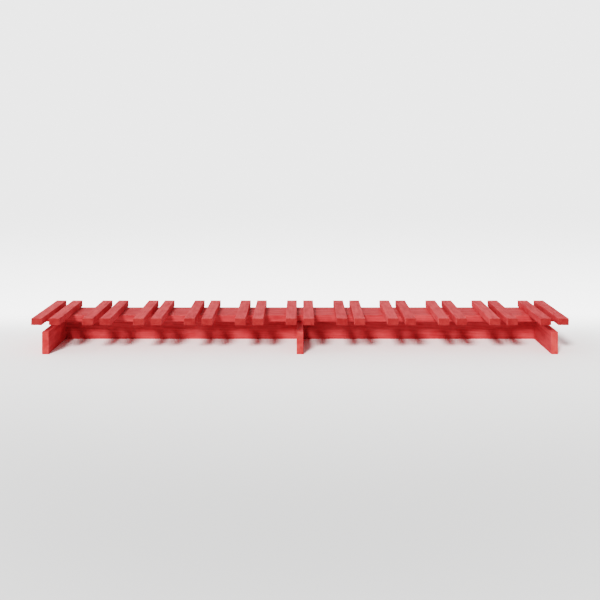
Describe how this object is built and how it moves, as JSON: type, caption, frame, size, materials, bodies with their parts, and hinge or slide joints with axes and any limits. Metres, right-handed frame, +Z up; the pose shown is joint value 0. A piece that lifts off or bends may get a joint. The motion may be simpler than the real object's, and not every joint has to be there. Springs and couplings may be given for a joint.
{
  "type": "wine rack",
  "caption": "Low wooden wine rack: paired slats laid across a long board on a rail and cross legs, with gaps that cradle bottles lying on their sides.",
  "frame": {"origin": "on the floor, under the centre of the rack", "axes": "+X along the rack to the right, +Y to the back, where the board is, and +Z up"},
  "size_m": [1.2, 0.22, 0.08],
  "materials": {
    "stained_wood": "red stain, satin",
    "screw_steel": "zinc plated",
    "dowel_wood": "plain beech"
  },
  "bodies": {
    "root": {"slat_01": "stained_wood", "slat_02": "stained_wood", "slat_03": "stained_wood", "slat_04": "stained_wood", "slat_05": "stained_wood", "slat_06": "stained_wood", "slat_07": "stained_wood", "slat_08": "stained_wood", "slat_09": "stained_wood", "slat_10": "stained_wood", "slat_11": "stained_wood", "slat_12": "stained_wood", "slat_13": "stained_wood", "slat_14": "stained_wood", "slat_15": "stained_wood", "slat_16": "stained_wood", "slat_17": "stained_wood", "slat_18": "stained_wood", "slat_19": "stained_wood", "slat_20": "stained_wood", "slat_21": "stained_wood", "slat_22": "stained_wood", "support_board": "stained_wood", "spine_rail": "stained_wood", "leg_left": "stained_wood", "leg_centre": "stained_wood", "leg_right": "stained_wood", "slat_screws": "screw_steel", "leg_dowels": "dowel_wood", "rail_dowels": "dowel_wood"}
  },
  "joints": []
}
